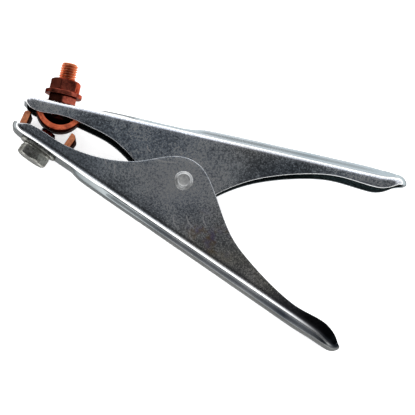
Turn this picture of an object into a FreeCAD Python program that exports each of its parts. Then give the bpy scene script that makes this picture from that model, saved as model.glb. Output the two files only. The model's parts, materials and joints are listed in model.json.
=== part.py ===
import math
import os

import FreeCAD
import Part

# Welding ground clamp: two sprung channel arms on one rivet, with copper contacts in the jaws.
# Millimetres. The clamp lies on its side: X runs from the jaws to the handles, Y from the lower
# arm to the upper arm, and Z is the rivet's axis. Each arm is drawn along its own web: u runs
# from the pivot to the handle tip, v from the pivot out to the web, and the pivot is at (0, 0).

V = FreeCAD.Vector

# ---- arms -----------------------------------------------------------------------------------
ARM_TILT = 10.8            # each web's angle to X, in degrees, with the jaws closed
SHEET = 2.0                # pressed steel sheet
LOWER_WIDTH = 32.0         # outside of the lower arm's cheeks
CHEEK_GAP = 0.3            # between the lower arm's cheeks and the upper arm's, on each side
UPPER_WIDTH = LOWER_WIDTH - 2 * SHEET - 2 * CHEEK_GAP
WEB_V = 29.7               # outside of the web
FOLD_R = 3.5               # outside radius of the fold between web and cheek
UPPER_NOSE_U = -100.5      # jaw tips
LOWER_NOSE_U = -101.4
TAIL_U = 130.5             # handle tip
UPPER_NOSE_R = 5.0         # plan radius of the closed jaw tips' corners
LOWER_NOSE_R = 10.0
TAIL_R = 12.0              # plan radius of the closed handle tip's corners
RIB_WIDTH = 20.0
RIB_FOLD_R = 2.5
RIB_INNER_FOLD_R = 1.0
RIB_FOOT_V = 10.0          # where the rib's solid starts, inside the channel
RIB_CREST = [(-62, 27.9), (-51, 31.5), (-28, 31.4), (-6, 31.3), (8, 33.3), (50, 33.8), (100, 33.4),
             (123, 28.0)]

# Free edge of each cheek, from the jaw tip round the pivot boss to the handle tip.
UPPER_EDGE = [(-101.6, 28.5), (-96.5, 22.9), (-80, 21.8), (-60, 19.1), (-47.5, 15.8), (-32, 7.0), (-16, -5.8),
              (-6, -11.6), (4, -12.2), (14, -8.0), (23.5, -0.7), (38, 8.9), (51, 14.7), (68, 20.0), (88, 23.2),
              (108, 22.9), (118, 24.4), (126, 28.2), (132, 33.0)]
LOWER_EDGE = [(-102.4, 31.5), (-96.5, 25.2), (-76, 22.2), (-56, 19.0), (-42, 13.8), (-25, 2.6), (-14, -7.8),
              (-5, -12.5), (4, -12.7), (14, -7.9), (24.6, -0.4), (43, 11.9), (57.4, 17.0), (84.4, 22.7),
              (97, 23.5), (110.5, 22.2), (118, 23.0), (124.4, 25.4), (131.5, 30.0)]

# ---- pivot ----------------------------------------------------------------------------------
RIVET_R = 4.0
RUNNING_GAP = 0.05         # radial, of a shaft in its hole
RIVET_FLANGE_R = 5.6
RIVET_FLANGE_T = 0.7
RIVET_FACE_R = 4.3
RIVET_FACE_T = 1.3
RIVET_CHAMFER = 0.5
RIVET_DISH_R = 3.0
RIVET_DISH_T = 0.35
SLEEVE_R = 6.2

# ---- torsion spring -------------------------------------------------------------------------
WIRE_R = 1.5
COIL_R = 8.6               # to the wire's centre
COIL_PITCH = 3.15
COIL_TURNS = 5.0
LEG_END = (47.0, 25.5)     # the leg's tip under the handle's rib, in an arm's own u and v

# ---- threaded stack on the upper jaw --------------------------------------------------------
STACK_U = -79.2
THREAD_R = 5.0             # M10
SEATED_R = 4.8             # stud inside the nuts, between its major and its pitch radius
NUT_RELIEF = 0.2           # bare length between the terminal nut and the full thread
STUD_CHAMFER = 0.8
HEX_CHAMFER = 0.9          # of nuts and bolt heads
HOLE_R = 5.25              # clearance holes of the webs and contacts
NUT_BORE_R = 5.05
NUT_AF = 16.0              # across flats
LOCK_NUT_T = 5.2
WASHER_T = 2.5
WASHER_R = 11.0
TERMINAL_NUT_T = 7.2
STUD_END_V = 54.8
STUD_HEAD_T = 7.2
STUD_HEAD_DOME_R = 10.6    # head domed to nest inside the half-round contact
STUD_HEAD_AF = 15.0
STUD_HEAD_TURN = 0.0       # degrees; at 0 a hexagon has two corners on Z
LOCK_NUT_TURN = 0.0
TERMINAL_NUT_TURN = 44.0

# ---- contacts -------------------------------------------------------------------------------
STRIP_WIDTH = 20.0         # along Z
ARC_T = 3.2
ARC_R = 14.2               # outside of the half-round contact
PRONG_T = 3.8
PRONG_PITCH = 28.6         # between the two prongs' middles
PRONG_ROUND = 2.6          # outer top corner
PRONG_TIP_V = 16.1         # top of the prong nearest the jaw tip
PRONG_ROOT_V = 13.6        # top of the other prong
SADDLE_TURN = 4.0          # the lower contact sits a little turned on its bolt
LOWER_BOLT_U = -81.2
LOWER_BOLT_END_V = 18.6
FLAT_WASHER_R = 11.8
FLAT_WASHER_T = 1.6
SPRING_WASHER_R = 8.9
SPRING_WASHER_T = 1.6
SPRING_WASHER_SPLIT = 1.4
LOWER_HEAD_T = 5.8
LOWER_HEAD_AF = 17.0
LOWER_HEAD_TURN = 18.0

TALL = 200.0               # longer than the clamp is in any cut
OVERRUN = 5.0              # how far a blank runs past each tip before it is trimmed
OUTSIDE_V = 60.0           # further out than any web or rib
NEAR = 1e-6


def spline_face(points, closing):
    """A flat outline: a smooth curve through points, then straight lines through closing."""
    curve = Part.BSplineCurve()
    curve.interpolate([V(x, y, 0) for x, y in points])
    corners = [V(*points[-1], 0)] + [V(*p, 0) for p in closing] + [V(*points[0], 0)]
    sides = [Part.makeLine(a, b) for a, b in zip(corners, corners[1:])]
    return Part.Face(Part.Wire([curve.toShape()] + sides))


def across(face, width):
    """The outline, as thick as width about Z = 0."""
    face.translate(V(0, 0, -width / 2))
    return face.extrude(V(0, 0, width))


def rounded_bar(width, top, fold_r, length_from, length_to):
    """A long bar along u whose two upper edges are rounded."""
    bar = Part.makeBox(length_to - length_from, TALL, width, V(length_from, top - TALL, -width / 2))
    upper = [e for e in bar.Edges if all(abs(p.Point.y - top) < NEAR for p in e.Vertexes)]
    long_ones = [e for e in upper if abs(e.Length - (length_to - length_from)) < NEAR]
    return bar.makeFillet(fold_r, long_ones)


def plan_bar(width, nose, tail, nose_r, tail_r):
    """A bar that is the arm seen square on to its web, with rounded corners at both tips."""
    bar = Part.makeBox(tail - nose, TALL, width, V(nose, -TALL / 2, -width / 2))
    for tip, tip_r in ((nose, nose_r), (tail, tail_r)):
        upright = [e for e in bar.Edges if abs(e.Length - TALL) < NEAR]
        bar = bar.makeFillet(tip_r, [e for e in upright if abs(e.Vertexes[0].Point.x - tip) < NEAR])
    return bar


def rib_solid(drop, width, fold_r):
    """The raised rib's own bar, its crest lowered by drop."""
    crest = [(u, v - drop) for u, v in RIB_CREST]
    foot = [(crest[-1][0], RIB_FOOT_V), (crest[0][0], RIB_FOOT_V)]
    bar = across(spline_face(crest, foot), width)
    run = crest[-1][0] - crest[0][0]
    upper = [e for e in bar.Edges if e.Length > run and e.CenterOfMass.y > (RIB_FOOT_V + WEB_V) / 2]
    return bar.makeFillet(fold_r, upper)


def channel_arm(width, edge, nose, nose_r):
    """A pressed channel: web, rib, two cheeks that deepen round the pivot, and closed tips."""
    outline = across(spline_face(edge, [(edge[-1][0], OUTSIDE_V), (edge[0][0], OUTSIDE_V)]), width)
    outer = rounded_bar(width, WEB_V, FOLD_R, nose - OVERRUN, TAIL_U + OVERRUN)
    outer = outer.common(plan_bar(width, nose, TAIL_U, nose_r, TAIL_R)).common(outline)
    inside = width - 2 * SHEET
    inner = rounded_bar(inside, WEB_V - SHEET, FOLD_R - SHEET, nose - OVERRUN, TAIL_U + OVERRUN)
    inner = inner.common(plan_bar(inside, nose + SHEET, TAIL_U - SHEET, nose_r - SHEET, TAIL_R - SHEET))
    rib = rib_solid(0, RIB_WIDTH, RIB_FOLD_R)
    rib_inside = rib_solid(SHEET, RIB_WIDTH - 2 * SHEET, RIB_INNER_FOLD_R)
    return outer.fuse(rib).cut(inner).cut(rib_inside)


def bored_along_v(shape, u, radius):
    return shape.cut(Part.makeCylinder(radius, TALL, V(u, -TALL / 2, 0), V(0, 1, 0)))


def hexagon(across_flats, thickness, u, v, turn):
    """A hexagonal prism standing on v, its upper rim chamfered as on a turned nut."""
    corner_r = across_flats / math.sqrt(3)
    angles = [math.radians(60 * i + turn) for i in range(7)]
    rim = [V(u + corner_r * math.sin(a), v, corner_r * math.cos(a)) for a in angles]
    prism = Part.Face(Part.makePolygon(rim)).extrude(V(0, thickness, 0))
    blank = Part.makeCylinder(corner_r, thickness, V(u, v, 0), V(0, 1, 0))
    rims = [e for e in blank.Edges if isinstance(e.Curve, Part.Circle)]
    return prism.common(blank.makeChamfer(HEX_CHAMFER, rims))


def disc(radius, thickness, u, v):
    return Part.makeCylinder(radius, thickness, V(u, v, 0), V(0, 1, 0))


def ring(radius, bore, thickness, u, v):
    return disc(radius, thickness, u, v).cut(disc(bore, thickness, u, v))


# ---- sub-parts, each in its own arm's u and v -------------------------------------------------
def upper_arm():
    arm = channel_arm(UPPER_WIDTH, UPPER_EDGE, UPPER_NOSE_U, UPPER_NOSE_R)
    arm = bored_along_v(arm, STACK_U, HOLE_R)
    return arm.cut(Part.makeCylinder(RIVET_R + RUNNING_GAP, TALL, V(0, 0, -TALL / 2)))


def lower_arm():
    arm = channel_arm(LOWER_WIDTH, LOWER_EDGE, LOWER_NOSE_U, LOWER_NOSE_R)
    arm = bored_along_v(arm, LOWER_BOLT_U, HOLE_R)
    return arm.cut(Part.makeCylinder(RIVET_R, TALL, V(0, 0, -TALL / 2)))


def pivot_rivet():
    """Shank with a flanged, slightly dished head at each end, closed down on the lower arm's cheeks."""
    rivet = Part.makeCylinder(RIVET_R, LOWER_WIDTH, V(0, 0, -LOWER_WIDTH / 2))
    for side in (-1, 1):
        z = side * LOWER_WIDTH / 2
        out = V(0, 0, side)
        flange = Part.makeCylinder(RIVET_FLANGE_R, RIVET_FLANGE_T, V(0, 0, z), out)
        face = Part.makeCylinder(RIVET_FACE_R, RIVET_FLANGE_T + RIVET_FACE_T, V(0, 0, z), out)
        top = z + side * (RIVET_FLANGE_T + RIVET_FACE_T)
        face = face.makeChamfer(RIVET_CHAMFER, [e for e in face.Edges if abs(e.CenterOfMass.z - top) < NEAR])
        dish = Part.makeCylinder(RIVET_DISH_R, RIVET_DISH_T, V(0, 0, top - side * RIVET_DISH_T), out)
        rivet = rivet.fuse(flange).fuse(face).cut(dish)
    return rivet.removeSplitter()


def pivot_sleeve():
    length = UPPER_WIDTH - 2 * SHEET - 2 * CHEEK_GAP
    tube = Part.makeCylinder(SLEEVE_R, length, V(0, 0, -length / 2))
    return tube.cut(Part.makeCylinder(RIVET_R, length, V(0, 0, -length / 2)))


def torsion_spring():
    """Coil round the sleeve, with one straight leg under each handle's rib."""
    length = COIL_TURNS * COIL_PITCH
    leg_u, leg_v = LEG_END
    reach = math.hypot(leg_u, leg_v)
    towards_tip = math.radians(ARM_TILT) + math.atan2(leg_v, leg_u)
    touch = towards_tip + math.acos(COIL_R / reach)
    start = -touch
    sweep = 2 * math.pi * (COIL_TURNS - 1) + 2 * touch
    turns = sweep / (2 * math.pi)
    helix = Part.makeLongHelix(length / turns, length, COIL_R, 0, False)
    helix.rotate(V(0, 0, 0), V(0, 0, 1), math.degrees(start))
    helix.translate(V(0, 0, -length / 2))
    at = V(COIL_R * math.cos(start), COIL_R * math.sin(start), -length / 2)
    along = V(-COIL_R * math.sin(start), COIL_R * math.cos(start), length / turns / (2 * math.pi))
    section = Part.Wire(Part.makeCircle(WIRE_R, at, along))
    spring = helix.makePipeShell([section], True, True)
    for side in (-1, 1):
        angle = side * touch
        foot = V(COIL_R * math.cos(angle), COIL_R * math.sin(angle), side * length / 2)
        tip = V(reach * math.cos(side * towards_tip), reach * math.sin(side * towards_tip), side * length / 2)
        run = tip.sub(foot)
        leg = Part.makeCylinder(WIRE_R, run.Length, foot, run)
        spring = spring.fuse(leg).fuse(Part.makeSphere(WIRE_R, foot))
    return spring


def stack_levels():
    """Where each piece of the threaded stack stands, out from the upper jaw's web."""
    lock = WEB_V
    washer = lock + LOCK_NUT_T
    nut = washer + WASHER_T
    return lock, washer, nut, nut + TERMINAL_NUT_T


def terminal_stud():
    """M10 stud whose hexagon head sits inside the half-round contact."""
    under_head = WEB_V - SHEET - ARC_T
    clear_of_nut = stack_levels()[3] + NUT_RELIEF
    stud = hexagon(STUD_HEAD_AF, STUD_HEAD_T, STACK_U, under_head - STUD_HEAD_T, STUD_HEAD_TURN)
    stud = stud.common(Part.makeSphere(STUD_HEAD_DOME_R, V(STACK_U, WEB_V - SHEET, 0)))
    stud = stud.fuse(disc(SEATED_R, clear_of_nut - under_head, STACK_U, under_head))
    end = disc(THREAD_R, STUD_END_V - clear_of_nut, STACK_U, clear_of_nut)
    rim = [e for e in end.Edges if abs(e.CenterOfMass.y - STUD_END_V) < NEAR]
    return stud.fuse(end.makeChamfer(STUD_CHAMFER, rim))


def stud_lock_nut():
    nut = hexagon(NUT_AF, LOCK_NUT_T, STACK_U, stack_levels()[0], LOCK_NUT_TURN)
    return bored_along_v(nut, STACK_U, SEATED_R)


def terminal_washer():
    return ring(WASHER_R, HOLE_R, WASHER_T, STACK_U, stack_levels()[1])


def terminal_nut():
    nut = hexagon(NUT_AF, TERMINAL_NUT_T, STACK_U, stack_levels()[2], TERMINAL_NUT_TURN)
    return bored_along_v(nut, STACK_U, NUT_BORE_R)


def upper_contact():
    """Copper strip bent to a closed half round, its flat side under the web."""
    seat = WEB_V - SHEET
    half = Part.makeBox(2 * ARC_R, ARC_R, STRIP_WIDTH, V(STACK_U - ARC_R, seat - ARC_R, -STRIP_WIDTH / 2))
    outer = Part.makeCylinder(ARC_R, STRIP_WIDTH, V(STACK_U, seat, -STRIP_WIDTH / 2)).common(half)
    inner_half = half.copy()
    inner_half.translate(V(0, -ARC_T, 0))
    inner = Part.makeCylinder(ARC_R - ARC_T, STRIP_WIDTH, V(STACK_U, seat, -STRIP_WIDTH / 2)).common(inner_half)
    strip = outer.cut(inner)
    return strip.cut(disc(HOLE_R, ARC_T, STACK_U, seat - ARC_T))


def lower_contact():
    """Copper saddle: a base tapped for its bolt and two upright prongs that cradle the half round."""
    seat = WEB_V - SHEET
    half = (PRONG_PITCH + PRONG_T) / 2
    block = Part.makeBox(2 * half, seat - PRONG_ROOT_V, STRIP_WIDTH,
                         V(-half, PRONG_ROOT_V, -STRIP_WIDTH / 2))
    gap = 2 * (half - PRONG_T)
    saddle = block.cut(Part.makeBox(gap, seat - PRONG_T - PRONG_ROOT_V, STRIP_WIDTH,
                                    V(-gap / 2, PRONG_ROOT_V, -STRIP_WIDTH / 2)))
    shorter = Part.makeBox(PRONG_T, PRONG_TIP_V - PRONG_ROOT_V, STRIP_WIDTH,
                           V(-half, PRONG_ROOT_V, -STRIP_WIDTH / 2))
    saddle = saddle.cut(shorter)
    corners = [e for e in saddle.Edges if abs(abs(e.CenterOfMass.x) - half) < NEAR
               and abs(e.Length - STRIP_WIDTH) < NEAR]
    saddle = saddle.makeFillet(PRONG_ROUND, corners)
    saddle.rotate(V(0, 0, 0), V(0, 1, 0), -SADDLE_TURN)
    saddle.translate(V(LOWER_BOLT_U, 0, 0))
    return bored_along_v(saddle, LOWER_BOLT_U, THREAD_R)


def lower_levels():
    washer = WEB_V
    spring_washer = washer + FLAT_WASHER_T
    return washer, spring_washer, spring_washer + SPRING_WASHER_T


def lower_contact_bolt():
    under_head = lower_levels()[2]
    head = hexagon(LOWER_HEAD_AF, LOWER_HEAD_T, LOWER_BOLT_U, under_head, LOWER_HEAD_TURN)
    return head.fuse(disc(THREAD_R, under_head - LOWER_BOLT_END_V, LOWER_BOLT_U, LOWER_BOLT_END_V))


def lower_flat_washer():
    return ring(FLAT_WASHER_R, HOLE_R, FLAT_WASHER_T, LOWER_BOLT_U, lower_levels()[0])


def lower_spring_washer():
    washer = ring(SPRING_WASHER_R, HOLE_R, SPRING_WASHER_T, LOWER_BOLT_U, lower_levels()[1])
    split = Part.makeBox(SPRING_WASHER_R + OVERRUN, SPRING_WASHER_T, SPRING_WASHER_SPLIT,
                         V(LOWER_BOLT_U, lower_levels()[1], -SPRING_WASHER_SPLIT / 2))
    return washer.cut(split)


# ---- assembly ---------------------------------------------------------------------------------
def as_upper(shape):
    shape.rotate(V(0, 0, 0), V(0, 0, 1), ARM_TILT)
    return shape


def as_lower(shape):
    return as_upper(shape).mirror(V(0, 0, 0), V(0, 1, 0))


def clamp_parts():
    on_upper = [upper_arm, terminal_stud, stud_lock_nut, terminal_washer, terminal_nut, upper_contact]
    on_lower = [lower_arm, lower_contact, lower_contact_bolt, lower_flat_washer, lower_spring_washer]
    parts = {make.__name__: as_upper(make()) for make in on_upper}
    parts.update({make.__name__: as_lower(make()) for make in on_lower})
    parts.update({make.__name__: make() for make in (pivot_rivet, pivot_sleeve, torsion_spring)})
    return parts


def main():
    os.makedirs("parts", exist_ok=True)
    parts = clamp_parts()
    box = Part.Compound(list(parts.values())).optimalBoundingBox(False, False)
    to_base = V(-box.Center.x, -box.Center.y, -box.ZMin)
    for name, shape in parts.items():
        shape.translate(to_base)
        shape.exportStep(f"parts/{name}.step")
        print(f"{name:22s} valid {shape.isValid()}  solids {len(shape.Solids)}  {shape.Volume:9.1f} mm3")
    print("box", [round(x, 3) for x in (box.XLength, box.YLength, box.ZLength)])
    print("pivot at", [round(x, 4) for x in to_base])


main()
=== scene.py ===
import bpy
import bmesh
import json
import math
import numpy as np
from mathutils import Matrix, Vector


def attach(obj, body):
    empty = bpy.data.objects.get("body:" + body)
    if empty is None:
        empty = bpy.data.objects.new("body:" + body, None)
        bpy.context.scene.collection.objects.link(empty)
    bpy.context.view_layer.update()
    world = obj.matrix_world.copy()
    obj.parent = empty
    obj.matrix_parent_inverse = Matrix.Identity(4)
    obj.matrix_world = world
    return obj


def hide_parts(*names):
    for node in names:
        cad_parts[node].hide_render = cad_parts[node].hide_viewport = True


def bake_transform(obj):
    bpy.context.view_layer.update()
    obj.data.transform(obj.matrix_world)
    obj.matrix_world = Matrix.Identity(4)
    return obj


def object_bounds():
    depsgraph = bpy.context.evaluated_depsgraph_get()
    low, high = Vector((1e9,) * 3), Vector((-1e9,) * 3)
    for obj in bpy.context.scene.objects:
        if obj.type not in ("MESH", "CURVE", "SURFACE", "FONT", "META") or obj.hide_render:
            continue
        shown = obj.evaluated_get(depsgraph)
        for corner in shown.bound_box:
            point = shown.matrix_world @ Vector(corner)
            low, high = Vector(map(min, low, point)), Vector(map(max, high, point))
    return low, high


# Looks of the welding ground clamp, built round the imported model. Blender works in metres, but the
# shapes below are written in millimetres in each arm's own frame: u from the pivot to the handle
# tip, v from the pivot out to the web, w along the rivet.

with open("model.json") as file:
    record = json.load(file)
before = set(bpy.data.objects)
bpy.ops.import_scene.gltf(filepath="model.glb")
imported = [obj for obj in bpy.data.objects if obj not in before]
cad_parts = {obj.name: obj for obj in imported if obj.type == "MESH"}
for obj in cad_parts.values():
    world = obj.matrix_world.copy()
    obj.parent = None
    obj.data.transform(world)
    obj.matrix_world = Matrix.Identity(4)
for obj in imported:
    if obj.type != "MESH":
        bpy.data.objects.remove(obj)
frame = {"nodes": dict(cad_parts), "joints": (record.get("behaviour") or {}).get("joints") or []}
CAD_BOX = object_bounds()
JOINTS = {joint["name"]: joint for joint in frame["joints"]}
PIVOT = np.array(JOINTS["arm_pivot"]["pos_m"])
MM = 0.001

# ---- driving sizes, in millimetres --------------------------------------------------------------
ARM_TILT = math.radians(10.8)
SHEET = 2.0
WEB_V = 29.7
FOLD_R = 3.5
EDGE_R = 0.5
TAIL_U, TAIL_R = 130.5, 12.0
LOWER = dict(width=32.0, nose=-101.4, nose_r=10.0)
UPPER = dict(width=27.4, nose=-100.5, nose_r=5.0)
FLICK_U, FLICK_SLOPE, FLICK_EASE = 113.0, 0.17, 4.0
UPPER["edge"] = [
    (-101.6, 28.5), (-96.5, 22.9), (-80, 21.8), (-60, 19.1), (-47.5, 15.8), (-32, 7.0),
    (-16, -5.8), (-6, -11.6), (4, -12.2), (14, -8.0), (23.5, -0.7), (38, 8.9), (51, 14.7),
    (68, 20.0), (88, 23.2), (108, 22.1), (118, 22.7), (126, 26.4), (132, 31.5)
]
LOWER["edge"] = [
    (-102.4, 31.5), (-96.5, 25.2), (-76, 22.2), (-56, 19.0), (-42, 13.8), (-25, 2.6), (-14, -7.8),
    (-5, -12.5), (4, -12.7), (14, -7.9), (24.6, -0.4), (43, 11.9), (57.4, 17.0), (84.4, 22.7),
    (97, 23.5), (110.5, 22.2), (118, 22.4), (124.4, 23.9), (131.5, 27.6)
]
UPPER["crest"] = [
    (-64, 0.0), (-60, 0.15), (-52, 1.9), (-40, 2.1), (-20, 1.9), (-8, 1.9), (-2, 2.3), (8, 4.0),
    (40, 4.4), (100, 4.5), (114, 3.9), (124, 1.9), (129.5, 0.0)
]
LOWER["crest"] = [
    (-62, 0.0), (-59, 0.15), (-53.5, 1.8), (-48, 2.4), (0, 2.7), (60, 3.0), (100, 3.3), (114, 2.7),
    (124, 1.2), (129.5, 0.0)
]

STACK_U = -79.2
THREAD_R = 5.0
THREAD_DEPTH = 0.86
THREAD_PITCH = 1.5
NUT_AF = 16.0
LOCK_NUT_V, LOCK_NUT_T, LOCK_NUT_BORE_R = 29.7, 5.2, 4.7
WASHER_V, WASHER_T, WASHER_R = 34.9, 2.5, 11.0
TERMINAL_NUT_V, TERMINAL_NUT_T = 37.4, 7.2
TERMINAL_NUT_BORE_R, TERMINAL_NUT_TURN = 5.05, 44.0
STUD_END_V = 54.8
STUD_HEAD_T, STUD_HEAD_AF, STUD_HEAD_DOME_R = 7.2, 15.0, 10.6
ARC_R, ARC_T = 14.2, 3.2
STRIP_WIDTH = 20.0
PRONG_T, PRONG_PITCH, PRONG_ROUND = 3.8, 28.6, 2.6
PRONG_TIP_V, PRONG_ROOT_V = 16.1, 12.9
PRONG_SPLAY = 1.7
SADDLE_TURN = math.radians(4.0)
BOLT_U, BOLT_END_V = -81.2, 18.6
BOLT_HEAD_AF, BOLT_HEAD_T, BOLT_HEAD_TURN = 17.0, 5.8, 18.0
FLAT_WASHER_R, FLAT_WASHER_T = 11.8, 1.6
SPRING_WASHER_R, SPRING_WASHER_T = 8.9, 1.6
HOLE_R = 5.25
RIVET_R = 4.0
# Radius and height of the closed rivet end, from its flange in to its shallow dish.
RIVET_HEAD = [
    (5.6, 0.0), (5.62, 0.25), (5.45, 0.5), (5.15, 0.66), (4.75, 0.74), (4.45, 0.84), (4.34, 1.05),
    (4.3, 1.4), (4.22, 1.68), (4.05, 1.88), (3.8, 1.97), (3.5, 1.96), (3.25, 1.86), (3.0, 1.74),
    (2.6, 1.67), (1.8, 1.63), (0.9, 1.61), (0.01, 1.6)
]
WIRE_R, COIL_R, COIL_PITCH, COIL_TURNS = 1.5, 8.6, 3.15, 5.0
LEG_END = (47.0, 25.5)


# ---- placing and meshing ------------------------------------------------------------------------
def placed(points, side):
    """Points of the upper (side 1) or lower (side -1) arm's frame, in the clamp's frame in metres."""
    u, v, w = np.moveaxis(np.asarray(points, float), -1, 0)
    x = u * math.cos(ARM_TILT) - v * math.sin(ARM_TILT)
    y = side * (u * math.sin(ARM_TILT) + v * math.cos(ARM_TILT))
    return np.stack([x, y, w], -1) * MM + PIVOT


def at_pivot(points):
    """Points about the pivot in the clamp's own directions, in metres."""
    return np.asarray(points, float) * MM + PIVOT


def piece_from(name, verts, faces, sharp_deg=38.0):
    """A closed mesh object with outward normals, smooth except over its real edges."""
    work = bmesh.new()
    made = [work.verts.new(tuple(v)) for v in verts]
    for face in faces:
        loop = list(dict.fromkeys(face))
        if len(loop) > 2:
            work.faces.new([made[i] for i in loop])
    bmesh.ops.remove_doubles(work, verts=work.verts, dist=1e-6)
    bmesh.ops.dissolve_degenerate(work, edges=work.edges, dist=1e-7)
    bmesh.ops.recalc_face_normals(work, faces=work.faces)
    mesh = bpy.data.meshes.new(name)
    work.to_mesh(mesh)
    work.free()
    mesh.polygons.foreach_set("use_smooth", [True] * len(mesh.polygons))
    mesh.set_sharp_from_angle(angle=math.radians(sharp_deg))
    piece = bpy.data.objects.new(name, mesh)
    bpy.context.scene.collection.objects.link(piece)
    return piece


def skin(rings, caps=True):
    """Faces over a stack of closed rings, shape (rings, points, 3), with its ends capped."""
    count, around = len(rings), len(rings[0])
    faces = []
    for r in range(count - 1):
        low, high = r * around, (r + 1) * around
        for i in range(around):
            j = (i + 1) % around
            faces.append((low + i, low + j, high + j, high + i))
    if caps:
        faces.append(tuple(range(around)))
        faces.append(tuple((count - 1) * around + i for i in range(around)))
    return np.asarray(rings).reshape(-1, 3), faces


def joined(name, shells, sharp_deg=38.0):
    verts, faces = [], []
    for shell_verts, shell_faces in shells:
        base = sum(len(v) for v in verts)
        verts.append(np.asarray(shell_verts))
        faces += [tuple(base + i for i in face) for face in shell_faces]
    return piece_from(name, np.concatenate(verts), faces, sharp_deg)


def free_edge(points, us):
    """v of a cheek's free edge at each u, on the smooth curve through its points."""
    points = np.array(points, float)
    chord = np.concatenate([[0], np.cumsum(np.linalg.norm(np.diff(points, axis=0), axis=1))])
    step = np.diff(chord)
    count = len(points)
    bend = np.eye(count)
    pull = np.zeros((count, 2))
    for i in range(1, count - 1):
        bend[i, i - 1:i + 2] = step[i - 1], 2 * (step[i - 1] + step[i]), step[i]
        pull[i] = 6 * ((points[i + 1] - points[i]) / step[i] - (points[i] - points[i - 1]) / step[i - 1])
    curve = np.linalg.solve(bend, pull)
    along = np.linspace(0, chord[-1], 1200)
    k = np.clip(np.searchsorted(chord, along) - 1, 0, count - 2)
    h, left, right = step[k, None], (along - chord[k])[:, None], (chord[k + 1] - along)[:, None]
    fine = (curve[k] * right**3 + curve[k + 1] * left**3) / (6 * h)
    fine += (points[k] / h - curve[k] * h / 6) * right + (points[k + 1] / h - curve[k + 1] * h / 6) * left
    return np.interp(us, fine[:, 0], fine[:, 1])


def smooth_curve(points, xs):
    """A smooth curve through points, read at xs (monotone cubic, so it never overshoots)."""
    px, py = np.array(points, float).T
    step = np.diff(px)
    slope = np.diff(py) / step
    tangent = np.concatenate([[slope[0]], np.zeros(len(slope) - 1), [slope[-1]]])
    for i in range(1, len(slope)):
        if slope[i - 1] * slope[i] > 0:
            w1, w2 = 2 * step[i] + step[i - 1], step[i] + 2 * step[i - 1]
            tangent[i] = (w1 + w2) / (w1 / slope[i - 1] + w2 / slope[i])
    xs = np.clip(xs, px[0], px[-1])
    k = np.clip(np.searchsorted(px, xs) - 1, 0, len(step) - 1)
    t = (xs - px[k]) / step[k]
    return ((2 * t**3 - 3 * t**2 + 1) * py[k] + (t**3 - 2 * t**2 + t) * step[k] * tangent[k]
            + (3 * t**2 - 2 * t**3) * py[k + 1] + (t**3 - t**2) * step[k] * tangent[k + 1])


def eased(x):
    x = np.clip(x, 0.0, 1.0)
    return x * x * (3 - 2 * x)


# ---- pressed arms -------------------------------------------------------------------------------
SIDE_STEP = 1.4
CORNER_STEPS = 12


def arm_outline(arm, inset):
    """The arm seen square on to its web: a ring of (u, w) points, the same count for every inset."""
    half = arm["width"] / 2 - inset
    nose, tail = arm["nose"] + inset, TAIL_U - inset
    nose_r, tail_r = arm["nose_r"] - inset, TAIL_R - inset
    side_count = round((TAIL_U - arm["nose"]) / SIDE_STEP)
    side_u = np.linspace(arm["nose"] + arm["nose_r"], TAIL_U - TAIL_R, side_count)
    turn = np.linspace(0, math.pi / 2, CORNER_STEPS + 1)[1:]
    tail_flat = np.linspace(half - tail_r, -(half - tail_r), 9)[1:]
    nose_flat = np.linspace(-(half - nose_r), half - nose_r, 9)[1:]
    near = [(u, half) for u in side_u]
    near += [(tail - tail_r + tail_r * math.sin(a), half - tail_r + tail_r * math.cos(a)) for a in turn]
    near += [(tail, w) for w in tail_flat]
    near += [(tail - tail_r + tail_r * math.cos(a), -(half - tail_r) - tail_r * math.sin(a)) for a in turn]
    near += [(u, -half) for u in side_u[::-1][1:]]
    near += [(nose + nose_r - nose_r * math.sin(a), -(half - nose_r) - nose_r * math.cos(a)) for a in turn]
    near += [(nose, w) for w in nose_flat]
    near += [(nose + nose_r - nose_r * math.cos(a), half - nose_r + nose_r * math.sin(a)) for a in turn[:-1]]
    return np.array(near)


def rib_rise(arm, u, w):
    """How far the raised rib lifts the web: a broad dome near the jaw, then a rib with steep flanks."""
    height = smooth_curve(arm["crest"], u)
    narrowed = eased((u + 42.0) / 14.0)
    run = (u + 32.0) / 140.0
    foot = (1 - narrowed) * (arm["width"] / 2 - 1.2) + narrowed * arm["width"] * (0.285 + 0.075 * run)
    flank = (1 - narrowed) * (arm["width"] * 0.3) + narrowed * (1.7 + 0.8 * run)
    across = np.abs(w)
    crown = 0.35 * np.clip(1 - (across / np.maximum(foot, 1e-3)) ** 2, 0, 1)
    return height * (0.9 * eased((foot - across) / flank) + crown * 0.3)


def web_rings(arm, inset, top_v):
    """Rings over the web, from its middle line out to its fold."""
    edge = arm_outline(arm, inset)
    middle_u = np.clip(edge[:, 0], arm["nose"] + arm["width"] / 2, TAIL_U - arm["width"] / 2)
    half = arm["width"] / 2 - inset
    fine = np.concatenate([np.arange(half, half * 0.45, -0.45), np.linspace(half * 0.45, 0, 7)])
    rings = []
    for w_out in fine[::-1]:
        share = w_out / half
        u = middle_u + (edge[:, 0] - middle_u) * share
        w = edge[:, 1] * share
        rings.append(np.stack([u, top_v + rib_rise(arm, u, w), w], -1))
    return rings


def fold_rings(arm, inset, top_v, radius, steps):
    """Rings round the fold, from the web's side to the cheek's."""
    rings = []
    for a in np.linspace(math.pi / 2, 0, steps + 1)[1:-1]:
        outline = arm_outline(arm, inset + radius * (1 - math.cos(a)))
        v = top_v - radius + radius * math.sin(a)
        rise = rib_rise(arm, outline[:, 0], outline[:, 1]) * math.sin(a)
        rings.append(np.stack([outline[:, 0], v + rise, outline[:, 1]], -1))
    return rings


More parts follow.
